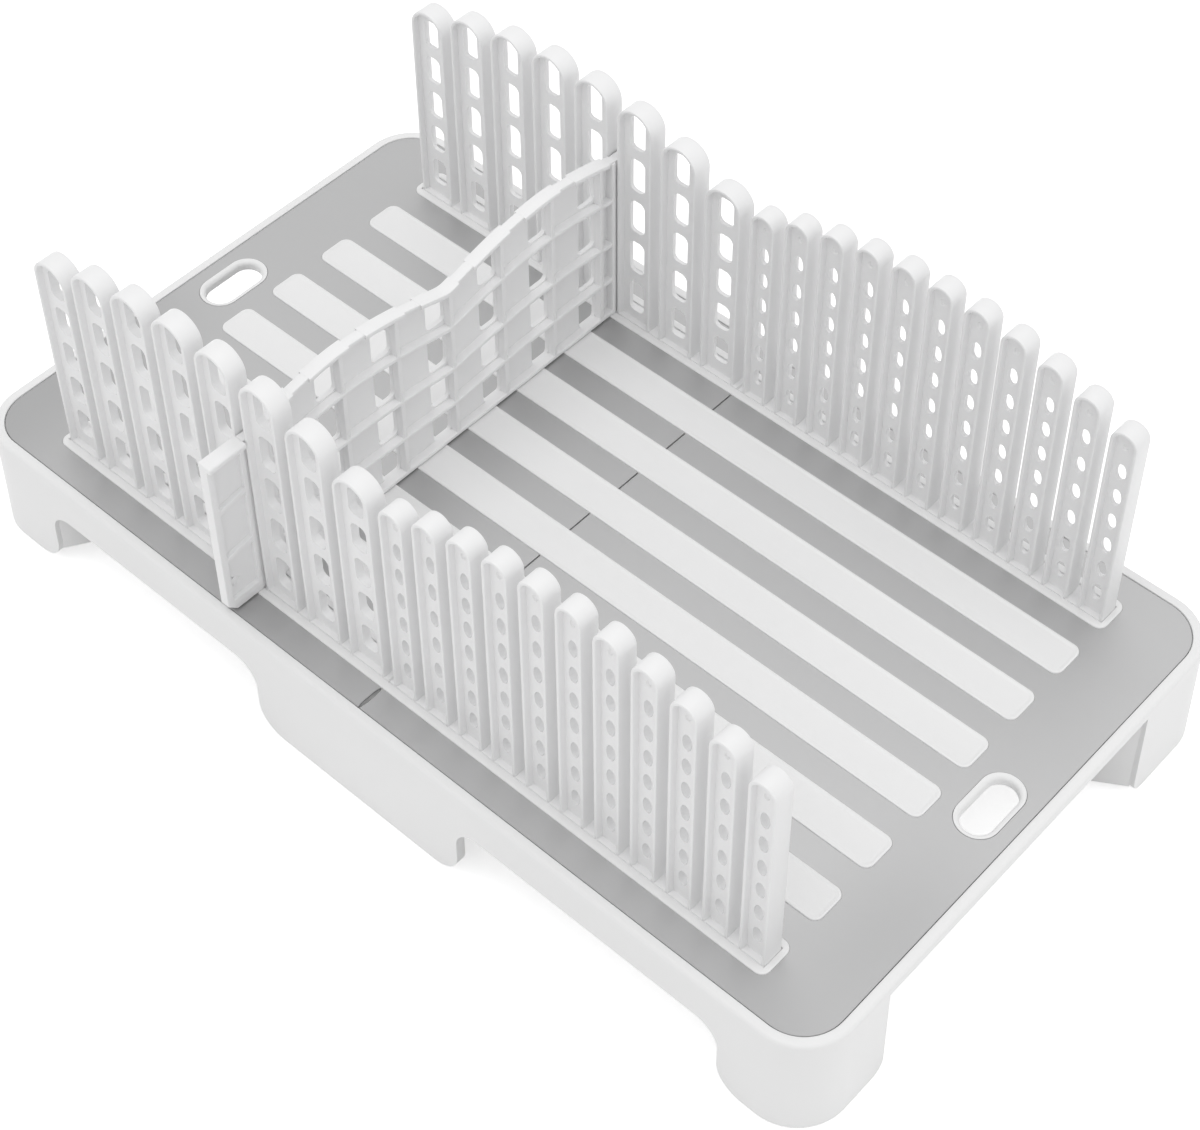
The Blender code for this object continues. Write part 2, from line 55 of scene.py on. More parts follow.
deckTop = steelHigh.z
combY = (combLow.y + combHigh.y) / 2        # middle of a comb's thickness


# Small tools for shaping

def addBlock(shape, low, high):
    # a plain block, from its lowest to its highest corner
    low, high = Vector(low), Vector(high)
    verts = bmesh.ops.create_cube(shape, size=1.0)["verts"]
    bmesh.ops.scale(shape, vec=high - low, verts=verts)
    bmesh.ops.translate(shape, vec=(low + high) / 2, verts=verts)
    return verts


def edgesWhere(shape, test):
    return [edge for edge in shape.edges if test(edge)]


def facesWhere(shape, test):
    return [face for face in shape.faces if test(face)]


def runsAlong(edge, axis):
    # true for a straight edge that lies along X, Y or Z (0, 1 or 2)
    along = edge.verts[1].co - edge.verts[0].co
    return along.length > tiny and abs(along[axis]) > 0.999 * along.length


def isBent(edge, angle=0.5):
    return edge.calc_face_angle(0) > angle


def isAbove(edge, level):
    return all(vert.co.z > level for vert in edge.verts)


def mergeFlat(shape):
    # joins neighbouring faces that lie in one plane
    bmesh.ops.dissolve_limit(shape, angle_limit=math.radians(0.5), verts=shape.verts, edges=shape.edges)


def roundEdges(shape, test, radius, segments):
    bmesh.ops.bevel(shape, geom=edgesWhere(shape, test), offset=radius, segments=segments, profile=0.5,
                    affect="EDGES", material=-1, clamp_overlap=True)


def addRoundedBlock(shape, low, high, radius, segments, test=lambda edge: runsAlong(edge, 2)):
    # a block with its four upright edges rounded, or else those that the test picks
    fresh = bmesh.new()
    addBlock(fresh, low, high)
    roundEdges(fresh, test, radius, segments)
    pour(fresh, shape)


def addCone(shape, centre, radii, bottom, top, segments):
    # an upright cone between two heights
    verts = bmesh.ops.create_cone(shape, cap_ends=True, segments=segments, radius1=radii[0], radius2=radii[1],
                                  depth=top - bottom)["verts"]
    bmesh.ops.translate(shape, verts=verts, vec=(*centre, (top + bottom) / 2))


def pour(source, target):
    # moves everything from one bmesh into another
    mesh = bpy.data.meshes.new("pour")
    source.to_mesh(mesh)
    source.free()
    target.from_mesh(mesh)
    bpy.data.meshes.remove(mesh)


def looseObject(name, shape):
    mesh = bpy.data.meshes.new(name)
    shape.to_mesh(mesh)
    shape.free()
    thing = bpy.data.objects.new(name, mesh)
    bpy.context.scene.collection.objects.link(thing)
    return thing


def carve(shape, cutter, operation="DIFFERENCE"):
    # cuts one bmesh with another and gives back the result
    bmesh.ops.recalc_face_normals(shape, faces=shape.faces)
    bmesh.ops.recalc_face_normals(cutter, faces=cutter.faces)
    body, tool = looseObject("body", shape), looseObject("tool", cutter)
    step = body.modifiers.new("carve", "BOOLEAN")
    step.operation = operation
    step.solver = "EXACT"
    step.object = tool
    view = bpy.context.evaluated_depsgraph_get()
    result = bmesh.new()
    result.from_mesh(body.evaluated_get(view).to_mesh())
    for thing in (body, tool):
        mesh = thing.data
        bpy.data.objects.remove(thing)
        bpy.data.meshes.remove(mesh)
    return result


def addRing(shape, centre, halfWidth, halfHeight, corner, segments, turn):
    # a closed loop of edges: a rounded rectangle about a centre, turned by a matrix
    made = bmesh.ops.create_circle(shape, cap_ends=False, segments=segments, radius=corner)["verts"]
    bmesh.ops.rotate(shape, verts=made, cent=(0, 0, 0), matrix=Matrix.Rotation(math.pi / segments, 3, "Z"))
    for vert in made:
        vert.co.x += math.copysign(halfWidth - corner, vert.co.x)
        vert.co.y += math.copysign(halfHeight - corner, vert.co.y)
    return placeLoop(shape, made, centre, turn)


def addOval(shape, centre, halfWidth, halfHeight, segments, turn):
    made = bmesh.ops.create_circle(shape, cap_ends=False, segments=segments, radius=1.0)["verts"]
    bmesh.ops.scale(shape, verts=made, vec=(halfWidth, halfHeight, 1))
    return placeLoop(shape, made, centre, turn)


def placeLoop(shape, verts, centre, turn):
    # turns a loop of points, moves it and gives back its edges
    bmesh.ops.rotate(shape, verts=verts, cent=(0, 0, 0), matrix=turn)
    bmesh.ops.translate(shape, verts=verts, vec=centre)
    return list(dict.fromkeys(edge for vert in verts for edge in vert.link_edges))


def finishPiece(name, shape, material, body, nodes, sharpDegrees=35):
    # makes the object, and says which body it rides on, which solids it shows and what it is made of
    bmesh.ops.recalc_face_normals(shape, faces=shape.faces)
    piece = looseObject(name, shape)
    piece.data.materials.append(material)
    piece.data.shade_smooth()
    piece.data.set_sharp_from_angle(angle=math.radians(sharpDegrees))
    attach(piece, body)
    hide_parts(*nodes)


# Materials

def newMaterial(name):
    # a material, its tree of nodes and its shader
    material = bpy.data.materials.new(name)
    material.use_nodes = True
    return material, material.node_tree, material.node_tree.nodes["Principled BSDF"]


def setInputs(node, values):
    for name, value in values.items():
        node.inputs[name].default_value = value


def newNode(tree, kind, **settings):
    node = tree.nodes.new(kind)
    for key, value in settings.items():
        if key in node.inputs:
            node.inputs[key].default_value = value
        else:
            setattr(node, key, value)
    return node


def addMath(tree, operation, *values):
    # one step of arithmetic; each value is a number or another node's output
    node = newNode(tree, "ShaderNodeMath", operation=operation)
    for socket, value in zip(node.inputs, values):
        if isinstance(value, bpy.types.NodeSocket):
            tree.links.new(value, socket)
        else:
            socket.default_value = value
    return node.outputs[0]


def addNoise(tree, vector, **settings):
    noise = newNode(tree, "ShaderNodeTexNoise", **settings)
    tree.links.new(vector, noise.inputs["Vector"])
    return noise.outputs["Fac"]


def addTint(tree, colour, scale):
    # a colour made darker or lighter
    tint = newNode(tree, "ShaderNodeVectorMath", operation="SCALE")
    tree.links.new(colour, tint.inputs[0])
    tree.links.new(scale, tint.inputs["Scale"])
    return tint.outputs[0]


skinDetail = {
    "cloudScale": 22.0,
    "patchScale": 160.0,
    "patchGloss": 0.1,
    "grainScale": 2600.0,
    "grainHeight": 0.00004,
}


def makeMouldedSkin():
    # the fine satin skin that a spark-eroded mould leaves, with faint cloudiness from the flow
    group = bpy.data.node_groups.new("mouldedSkin", "ShaderNodeTree")
    addSocket = group.interface.new_socket
    addSocket(name="Colour", in_out="INPUT", socket_type="NodeSocketColor").default_value = (0.8, 0.8, 0.8, 1.0)
    for name, value in (("Cloudiness", 0.02), ("Roughness", 0.45), ("Grain depth", 0.15)):
        addSocket(name=name, in_out="INPUT", socket_type="NodeSocketFloat").default_value = value
    for name, kind in (("Colour", "Color"), ("Roughness", "Float"), ("Normal", "Vector")):
        addSocket(name=name, in_out="OUTPUT", socket_type="NodeSocket" + kind)
    given = newNode(group, "NodeGroupInput")
    result = newNode(group, "NodeGroupOutput")
    place = newNode(group, "ShaderNodeTexCoord").outputs["Object"]

    cloud = addNoise(group, place, Scale=skinDetail["cloudScale"], Detail=3.0, Roughness=0.55)
    spread = addMath(group, "SUBTRACT", cloud, 0.5)
    shade = addMath(group, "MULTIPLY_ADD", spread, given.outputs["Cloudiness"], 1.0)
    group.links.new(addTint(group, given.outputs["Colour"], shade), result.inputs["Colour"])

    patch = addNoise(group, place, Scale=skinDetail["patchScale"], Detail=2.0)
    gloss = addMath(group, "MULTIPLY_ADD", patch, skinDetail["patchGloss"], given.outputs["Roughness"])
    group.links.new(gloss, result.inputs["Roughness"])

    grain = addNoise(group, place, Scale=skinDetail["grainScale"], Detail=2.0, Roughness=0.6)
    relief = newNode(group, "ShaderNodeBump", Distance=skinDetail["grainHeight"])
    group.links.new(given.outputs["Grain depth"], relief.inputs["Strength"])
    group.links.new(grain, relief.inputs["Height"])
    group.links.new(relief.outputs["Normal"], result.inputs["Normal"])
    return group


def mouldedMaterial(name, skin, look):
    material, tree, shader = newMaterial(name)
    surface = newNode(tree, "ShaderNodeGroup", node_tree=skin)
    setInputs(surface, {"Colour": (*look["colour"], 1.0), "Cloudiness": look["cloudiness"],
                        "Roughness": look["roughness"], "Grain depth": look["grainDepth"]})
    setInputs(shader, {"Specular IOR Level": look["specular"]})
    for name, goal in (("Colour", "Base Color"), ("Roughness", "Roughness"), ("Normal", "Normal")):
        tree.links.new(surface.outputs[name], shader.inputs[goal])
    return material


steelLook = {
    "dark": (0.47, 0.47, 0.472),
    "light": (0.53, 0.53, 0.532),
    "roughness": 0.46,
    "streakRoughness": 0.12,
    "streakLength": 0.03,       # along X
    "streakWidth": 0.0003,      # across it
    "streakTone": 0.05,
    "streakHeight": 0.00003,
    "patchScale": 9.0,
    "patchTone": 0.35,
    "paintedReflectionRamp": (-0.16, 0.16),    # painted reflection: the tone rises from the left end to the right one
    "paintedReflectionTone": 0.5,
    "paintedShadeEndRamp": (0.115, 0.150),  # painted shade: distances from the middle between which the ends grow darker
    "paintedShadeFrontRamp": (0.0, -0.05),
    "paintedShadeTone": -1.3,            # painted shade: how far the two front corners fall below the dark tone
}


# steel with brushed streaks and random patches, plus a painted reflection that brightens towards the right end and
# painted shade at the two front corners
def brushedMaterial(name, look):
    material, tree, shader = newMaterial(name)
    link = tree.links.new
    setInputs(shader, {"Metallic": 1.0})
    place = newNode(tree, "ShaderNodeTexCoord").outputs["Object"]
    across = newNode(tree, "ShaderNodeSeparateXYZ")
    link(place, across.inputs[0])

    def ramp(value, reach, rise, shape):
        # climbs from 0 to the full rise over the reach
        node = newNode(tree, "ShaderNodeMapRange", interpolation_type=shape)
        setInputs(node, {"From Min": reach[0], "From Max": reach[1], "To Max": rise})
        link(value, node.inputs["Value"])
        return node.outputs[0]

    stretch = newNode(tree, "ShaderNodeMapping")
    fine = 1 / look["streakWidth"]
    setInputs(stretch, {"Scale": (1 / look["streakLength"], fine, fine)})
    link(place, stretch.inputs["Vector"])
    streak = addNoise(tree, stretch.outputs[0], Scale=1.0, Detail=3.0, Roughness=0.65)
    patch = addNoise(tree, place, Scale=look["patchScale"], Detail=1.5, Roughness=0.4)

    # painted shade: the steel's colour darkens at the two front corners, towards the ends and the front edge
    ends = ramp(addMath(tree, "ABSOLUTE", across.outputs["X"]), look["paintedShadeEndRamp"], 1.0, "SMOOTHSTEP")
    front = ramp(across.outputs["Y"], look["paintedShadeFrontRamp"], 1.0, "SMOOTHSTEP")
    # painted reflection: the base colour grows lighter along X towards the right end
    along = ramp(across.outputs["X"], look["paintedReflectionRamp"], look["paintedReflectionTone"], "LINEAR")
    blend = addMath(tree, "MULTIPLY_ADD", patch, look["patchTone"], along)
    blend = addMath(tree, "MULTIPLY_ADD", addMath(tree, "MULTIPLY", ends, front), look["paintedShadeTone"], blend)
    tone = newNode(tree, "ShaderNodeMix", data_type="RGBA", clamp_factor=False)
    given = {socket.name: socket for socket in tone.inputs if socket.type == "RGBA"}
    given["A"].default_value = (*look["dark"], 1.0)
    given["B"].default_value = (*look["light"], 1.0)
    link(blend, tone.inputs["Factor"])
    depth = addMath(tree, "MULTIPLY_ADD", addMath(tree, "SUBTRACT", streak, 0.5), look["streakTone"], 1.0)
    mixed = [socket for socket in tone.outputs if socket.type == "RGBA"][0]
    link(addTint(tree, mixed, depth), shader.inputs["Base Color"])

    polish = addMath(tree, "MULTIPLY_ADD", streak, look["streakRoughness"], look["roughness"])
    link(polish, shader.inputs["Roughness"])
    relief = newNode(tree, "ShaderNodeBump", Strength=0.12, Distance=look["streakHeight"])
    link(streak, relief.inputs["Height"])
    link(relief.outputs["Normal"], shader.inputs["Normal"])
    return material


skin = makeMouldedSkin()
tableWhite = mouldedMaterial("tableWhite", skin, {
    "colour": (0.84, 0.84, 0.84), "cloudiness": 0.03, "roughness": 0.42, "grainDepth": 0.12, "specular": 0.4})
combWhite = mouldedMaterial("combWhite", skin, {
    "colour": (0.86, 0.86, 0.863), "cloudiness": 0.05, "roughness": 0.40, "grainDepth": 0.10, "specular": 0.4})
padGrey = mouldedMaterial("padGrey", skin, {
    "colour": (0.26, 0.26, 0.27), "cloudiness": 0.10, "roughness": 0.70, "grainDepth": 0.60, "specular": 0.3})
brushedSteel = brushedMaterial("brushedSteel", steelLook)
print("materials made")


# The table: a white moulding with a rim, a skirt on six feet, bars and two comb sockets

table = {
    "rimWidth": 0.0030,
    "rimRound": 0.0012,
    "rimInnerRound": 0.0003,
    "draftDegrees": 0.86,       # how much the skirt widens downwards
    "floorGap": 0.0005,
    "corner": 0.0160,
    "archDrop": 0.0140,         # from the deck down to the skirt's lower edge
    "centreFootHalf": 0.0383,
    "cornerFootInner": {-1: 0.1240, 1: 0.1285},     # left and right
    "endFootInner": {-1: 0.0590, 1: 0.0522},        # front and back
    "archRound": 0.0080,        # upper corners of the side arches
    "footRound": 0.0090,        # lower corners of the feet
    "endRimDrop": 0.0034,       # from the rim down to the end openings
    "endFootRound": 0.0045,
    "plateThickness": 0.0024,
    "steelBedGap": 0.0003,
    "steelEdgeGap": 0.0002,
    "rimStand": 0.0003,         # above the steel
    "socketHalf": 0.0060,       # half a comb socket's width
}
rimTop = deckTop + table["rimStand"]
halfLength = steelHigh.x + table["steelBedGap"] + table["rimWidth"]
halfWidth = steelHigh.y + table["steelBedGap"] + table["rimWidth"]
seamY = (combY + table["socketHalf"] + steelHigh.y) / 2     # middle of the steel outside a comb
plateTop = steelLow.z - table["steelBedGap"]
plateUnder = plateTop - table["plateThickness"]


def makeSkirt():
    # a rounded ring that widens towards the floor, with arches cut out of it
    shape = bmesh.new()
    floor = table["floorGap"]
    addRoundedBlock(shape, (-halfLength, -halfWidth, floor), (halfLength, halfWidth, rimTop), table["corner"], 14)
    top = facesWhere(shape, lambda face: face.normal.z > 0.9)
    under = facesWhere(shape, lambda face: face.normal.z < -0.9)
    ledge = halfLength - steelHigh.x - table["steelEdgeGap"]
    bmesh.ops.inset_region(shape, faces=top, thickness=ledge, use_even_offset=True)
    bmesh.ops.delete(shape, geom=top + under, context="FACES")
    lip = edgesWhere(shape, lambda edge: edge.is_boundary and edge.verts[0].co.z > floor + tiny)
    for part in bmesh.ops.extrude_edge_only(shape, edges=lip)["geom"]:
        if isinstance(part, bmesh.types.BMVert):
            part.co.z = floor
    bmesh.ops.bridge_loops(shape, edges=edgesWhere(shape, lambda edge: edge.is_boundary))
    spread = (rimTop - floor) * math.tan(math.radians(table["draftDegrees"]))
    for vert in shape.verts:
        if vert.co.z < floor + tiny:
            vert.co.x *= 1 + spread / halfLength
            vert.co.y *= 1 + spread / halfWidth

    cutter = bmesh.new()
    below = -5 * past
    archLevel = deckTop - table["archDrop"]
    for side in (-1, 1):
        low, high = sorted((side * table["centreFootHalf"], side * table["cornerFootInner"][side]))
        addBlock(cutter, (low, -2 * halfWidth, below), (high, 2 * halfWidth, archLevel))
    shape = carve(shape, cutter)
    cutter = bmesh.new()
    edge = rimTop - table["endRimDrop"]
    inner = halfLength - 3 * table["rimWidth"]
    for low, high in ((-2 * halfLength, -inner), (inner, 2 * halfLength)):
        addBlock(cutter, (low, -table["endFootInner"][-1], below), (high, table["endFootInner"][1], edge))
    shape = carve(shape, cutter)
    mergeFlat(shape)

    def footCorner(edge):
        spot = edge.verts[0].co
        return runsAlong(edge, 1) and spot.z < floor + tiny and abs(spot.y) > halfWidth * 0.9

    def archCorner(edge):
        spot = edge.verts[0].co
        return runsAlong(edge, 1) and abs(spot.z - archLevel) < tiny and abs(spot.x) < halfLength * 0.95

    def endCorner(edge):
        spot = edge.verts[0].co
        return runsAlong(edge, 0) and spot.z < floor + tiny and abs(spot.x) > halfLength * 0.95

    roundEdges(shape, footCorner, table["footRound"], 12)
    roundEdges(shape, archCorner, table["archRound"], 12)
    roundEdges(shape, endCorner, table["endFootRound"], 6)

    def rimOutline(edge):
        return isAbove(edge, rimTop - tiny) and isBent(edge)

    def outer(edge):
        return any(abs(face.normal.z) < 0.5 and face.normal.dot(face.calc_center_median()) > 0
                   for face in edge.link_faces)

    roundEdges(shape, lambda edge: rimOutline(edge) and outer(edge), table["rimRound"], 5)
    roundEdges(shape, lambda edge: rimOutline(edge) and not outer(edge), table["rimInnerRound"], 2)
    return shape


deckBars = {
    "count": 6,
    "pitch": 2 * combY / 7,
    "width": 0.0120,
    "corner": 0.0028,
    "stand": 0.0004,            # above the steel
    "sink": 0.0010,             # into the plate
    "endGap": 0.0003,           # from the combs' ends to the border
    "border": 0.0016,
    # how far in from the edge, and how far below the top
    "borderSteps": ((0.0, 0.00040), (0.00010, 0.00014), (0.00028, 0.00003), (0.00050, 0.0), (0.00080, 0.00008),
                    (0.00115, 0.00024), (0.00145, 0.00032)),
}
barHalf = combHigh.x + deckBars["endGap"] + deckBars["border"]
barTop = deckTop + deckBars["stand"]


def easeTop(shape, steps):
    # shapes a top face from its outline inwards: each step is how far in, and how far below the top
    top = facesWhere(shape, lambda face: face.normal.z > 0.9)
    level = top[0].calc_center_median().z
    outline = list(dict.fromkeys(vert for face in top for vert in face.verts))
    reached = 0.0
    for vert in outline:
        vert.co.z = level - steps[0][1]
    for distance, fall in steps[1:]:
        bmesh.ops.inset_region(shape, faces=top, thickness=distance - reached, use_even_offset=True)
        for vert in list(dict.fromkeys(vert for face in top for vert in face.verts)):
            vert.co.z = level - fall
        reached = distance


def makeBar(y, steps):
    # a long bar from the plate up, its border shaped by the steps
    shape = bmesh.new()
    half = deckBars["width"] / 2
    low, high = (-barHalf, y - half, plateUnder + deckBars["sink"]), (barHalf, y + half, barTop)
    addRoundedBlock(shape, low, high, deckBars["corner"], 6)
    easeTop(shape, steps)
    return shape


socket = {
    "gap": 0.0003,
    "sideGap": 0.0001,
    "borderSteps": ((0.0, 0.00040), (0.00010, 0.00014), (0.00030, 0.00003), (0.00060, 0.0)),
    "wall": 0.0015,
    "floor": 0.0015,
    "overlap": 0.0015,          # into the plate
    "mouthRound": 0.0001,
}


def addCombSocket(shape, side):
    # a bar with a trough in it, which takes a comb's root
    y = side * combY
    low = combLow.z - socket["gap"]
    halfX = combHigh.x + 2 * socket["sideGap"]
    halfY = (combHigh.y - combLow.y) / 2 + socket["sideGap"]
    trough = bmesh.new()
    addBlock(trough, (-halfX - socket["wall"], y - halfY - socket["wall"], low - socket["floor"]),
             (halfX + socket["wall"], y + halfY + socket["wall"], plateUnder + socket["overlap"]))
    joined = carve(makeBar(y, socket["borderSteps"]), trough, "UNION")
    cutter = bmesh.new()
    addBlock(cutter, (-halfX, y - halfY, low), (halfX, y + halfY, barTop + past))
    joined = carve(joined, cutter)

    def mouth(edge):
        return isAbove(edge, deckTop) and isBent(edge, 0.9)

    roundEdges(joined, mouth, socket["mouthRound"], 2)
    pour(joined, shape)


handHole = {
    "width": 0.0130,
    "length": 0.0232,
    "corner": 0.0064,
    "fromEnd": 0.0106,
    "lip": 0.0018,              # white edge that shows inside the steel
    "lipDepth": 0.0030,
    "lipRound": 0.0014,
    "lipGap": 0.00008,          # between the lip and the steel
    "lipStand": 0.0001,
    "plateInset": 0.0002,       # the plate's hole is smaller by this
    "segments": 48,
}
handHoleX = steelHigh.x - handHole["fromEnd"]


plate = {
    "edge": 0.0024,             # how far it stops short of the skirt's outer face
    "segments": 56,
    "seamHole": (0.0007, 0.0046, 0.0006),   # half width, half length and corner
    "seamSegments": 16,
}


def addPlate(shape):
    # the flat plate under the steel, with two hand holes and two small ones at the seam
    fresh = bmesh.new()
    outline = (halfLength - plate["edge"], halfWidth - plate["edge"], table["corner"] - plate["edge"])
    inset = handHole["plateInset"]
    opening = (handHole["width"] / 2 - inset, handHole["length"] / 2 - inset, handHole["corner"] - inset)
    loops = {}
    flat = Matrix.Identity(3)
    for level in (plateUnder, plateTop):
        rings = [addRing(fresh, (0, 0, level), *outline, plate["segments"], flat)]
        for side in (-1, 1):
            rings.append(addRing(fresh, (side * handHoleX, 0, level), *opening, handHole["segments"], flat))
            rings.append(addRing(fresh, (0, side * seamY, level), *plate["seamHole"], plate["seamSegments"], flat))
        loops[level] = rings
        bmesh.ops.triangle_fill(fresh, use_beauty=True, edges=[edge for ring in rings for edge in ring],
                                normal=(0, 0, 1))
    for lower, upper in zip(loops[plateUnder], loops[plateTop]):
        bmesh.ops.bridge_loops(fresh, edges=lower + upper)
    pour(fresh, shape)


def addLip(shape, side):
    # a rounded white collar that lines a hand hole
    def block(inset, low, high):
        made = bmesh.new()
        halfX, halfY = handHole["width"] / 2 - inset, handHole["length"] / 2 - inset
        addRoundedBlock(made, (side * handHoleX - halfX, -halfY, low), (side * handHoleX + halfX, halfY, high),
                        handHole["corner"] - inset, 14)
        return made

    top = deckTop + handHole["lipStand"]
    under = deckTop - handHole["lipDepth"]
    collar = carve(block(handHole["lipGap"], under, top), block(handHole["lip"], under - past, top + past))
    reachX, reachY = (handHole[key] / 2 - handHole["lip"] + tiny for key in ("width", "length"))

    def mouth(edge):
        inside = all(abs(vert.co.y) < reachY and abs(abs(vert.co.x) - handHoleX) < reachX for vert in edge.verts)
        return inside and isAbove(edge, deckTop) and isBent(edge, 0.9)

    roundEdges(collar, mouth, handHole["lipRound"], 6)
    pour(collar, shape)


ribs = {
    "thickness": 0.0022,
    "reach": 0.0090,            # how far a wall runs inwards
    "lean": 0.0055,             # and sideways
    "lift": 0.0022,             # from the skirt's lower end
    "sideLift": 0.0056,         # the ribs at the long sides end higher
    "edge": 0.0003,
    "sink": 0.0006,             # into the plate
}


def addRib(shape, start, end, bottom):
    # a thin upright wall between two points of the floor plan
    start, end = Vector((*start, 0)), Vector((*end, 0))
    run = end - start
    fresh = bmesh.new()
    half = ribs["thickness"] / 2
    addBlock(fresh, (0, -half, bottom), (run.length, half, plateUnder + ribs["sink"]))
    roundEdges(fresh, lambda edge: all(vert.co.x > tiny for vert in edge.verts), ribs["edge"], 2)
    turn = Matrix.Rotation(math.atan2(run.y, run.x), 3, "Z")
    bmesh.ops.rotate(fresh, verts=fresh.verts, cent=(0, 0, 0), matrix=turn)
    bmesh.ops.translate(fresh, verts=fresh.verts, vec=start)
    pour(fresh, shape)


def addRibs(shape):
    # slanting walls that stiffen the feet from inside
    endBottom, sideBottom = table["floorGap"] + ribs["lift"], table["floorGap"] + ribs["sideLift"]
    face = halfWidth - table["rimWidth"] / 2
    endFace = halfLength - table["rimWidth"] / 2
    reach, lean, thickness = ribs["reach"], ribs["lean"], ribs["thickness"]
    for sideX in (-1, 1):
        for sideY in (-1, 1):
            x = sideX * (table["cornerFootInner"][sideX] + thickness / 2)
            addRib(shape, (x, sideY * face), (x - sideX * lean, sideY * (face - reach)), sideBottom)
            y = sideY * (table["endFootInner"][sideY] + thickness / 2)
            addRib(shape, (sideX * endFace, y), (sideX * (endFace - reach), y - sideY * lean), endBottom)


posts = {
    "radii": (0.0065, 0.0067),  # at the foot and at the plate
    "foot": 0.0016,
    "sink": 0.0008,             # into the plate
    "edge": 0.0004,
    "segments": 40,
}


def addPosts(shape):
    # round posts behind the feet, which hold the pads
    foot, top = posts["foot"], plateUnder + posts["sink"]
    for number in range(1, 7):
        low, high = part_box("foot_pad_%d" % number)
        middle = (low + high) / 2
        fresh = bmesh.new()
        addCone(fresh, middle.xy, posts["radii"], foot, top, posts["segments"])
        roundEdges(fresh, lambda edge: all(vert.co.z < foot + tiny for vert in edge.verts), posts["edge"], 2)
        pour(fresh, shape)


def makeTable():
    shape = makeSkirt()
    addPlate(shape)
    for side in (-1, 1):
        addLip(shape, side)
        addCombSocket(shape, side)
    for index in range(deckBars["count"]):
        y = (index - (deckBars["count"] - 1) / 2) * deckBars["pitch"]
        pour(makeBar(y, deckBars["borderSteps"]), shape)
    addRibs(shape)
    addPosts(shape)
    finishPiece("tableMoulding", shape, tableWhite, "table", ["base_frame"])


makeTable()
print("table made")


# The steel top: two sheets that meet in the middle

sheet = {
    "seam": 0.0004,
    "lens": (0.0006, 0.0044),   # half width and half length of the seam's open stretch
    "slotGap": -0.00003,
    "edgeRound": 0.00012,
    "corner": 0.0127,
}


def makeSheet(name, side, node):
    shape = bmesh.new()
    addRoundedBlock(shape, (-steelHigh.x, -steelHigh.y, steelLow.z), (steelHigh.x, steelHigh.y, deckTop),
                    sheet["corner"], 14)
    cutter = bmesh.new()
    far = 3 * steelHigh.x
    if side > 0:
        addBlock(cutter, (-far, -1, -1), (sheet["seam"] / 2, 1, 1))
    else:
        addBlock(cutter, (-sheet["seam"] / 2, -1, -1), (far, 1, 1))
    shape = carve(shape, cutter)
    cutter = bmesh.new()
    half = deckBars["width"] / 2 + sheet["slotGap"]
    end = barHalf + sheet["slotGap"]
    for index in range(deckBars["count"] + 2):
        y = (index - (deckBars["count"] + 1) / 2) * deckBars["pitch"]
        addRoundedBlock(cutter, (-end, y - half, deckTop - past), (end, y + half, deckTop + past),
                        deckBars["corner"] + sheet["slotGap"], 6)
    addRoundedBlock(cutter, (side * handHoleX - handHole["width"] / 2, -handHole["length"] / 2, deckTop - past),
                    (side * handHoleX + handHole["width"] / 2, handHole["length"] / 2, deckTop + past),
                    handHole["corner"], 12)
    shape = carve(shape, cutter)
    cutter = bmesh.new()
    for place in (-seamY, seamY):
        fresh = bmesh.new()
        bmesh.ops.create_cone(fresh, cap_ends=True, segments=48, radius1=1.0, radius2=1.0, depth=1.0)
        bmesh.ops.scale(fresh, verts=fresh.verts, vec=(*sheet["lens"], 2 * past))
        bmesh.ops.translate(fresh, verts=fresh.verts, vec=(0, place, deckTop))
        pour(fresh, cutter)
    shape = carve(shape, cutter)

    roundEdges(shape, lambda edge: isAbove(edge, deckTop - tiny) and isBent(edge), sheet["edgeRound"], 1)
    finishPiece(name, shape, brushedSteel, "table", [node], 30)


makeSheet("steelSheetLeft", -1, "steel_deck_left")
makeSheet("steelSheetRight", 1, "steel_deck_right")
print("steel top made")


# The finger combs

wideComb = {
    "count": 8,
    "side": -1,
    "crown": 0.0851,            # tallest finger above the deck
    "holeHalfWidth": 0.0028,
    "holeCorner": 0.0021,
    "holeCount": 5,
    "holeFirst": 0.0095,        # lowest hole's middle above the deck
    "holeTopDrop": 0.0089,      # highest hole's middle below the tip
    "holeBridge": 0.0039,
    "extraHoleFrom": 0.2,       # taller than any of them
    "ringSegments": 16,
}
narrowComb = {
    "count": 11,
    "side": 1,
    "crown": 0.0853,
    "holeHalfWidth": 0.00155,
    "holeHalfHeight": 0.0031,
    "holeCount": 6,
    "extraHoleFrom": 0.0790,    # taller fingers have one hole more
    "holeFirst": 0.0081,
    "holeTopDrop": 0.0160,
    "dimpleDrop": 0.0064,       # small blind dimple near the tip
    "dimpleRim": (0.0009, 0.0013),      # half width and half height
    "dimpleBed": (0.0006, 0.0009),
    "dimpleDepth": 0.0004,
    "dimpleSegments": 12,
    "ringSegments": 16,
}
finger = {
    "knifeGap": 0.0037,
    "extraWidth": 0.0002,       # makes up for the rounded edges, which widen the gap
    "depth": 0.0066,
    "wall": 0.0011,
    # how deep the web lies behind the side that faces the bread, and behind the other side
    "recess": {-1: (0.0021, 0.0019), 1: (0.0019, 0.0035)},
    "draft": 0.0002,
    "edgeRound": 0.00048,
    "tipSegments": 18,
    "tipShare": 0.999,          # of half the width, so that the two rounded corners stay apart
    "crownRadius": 0.150,       # of the arc that a comb's tips follow
}
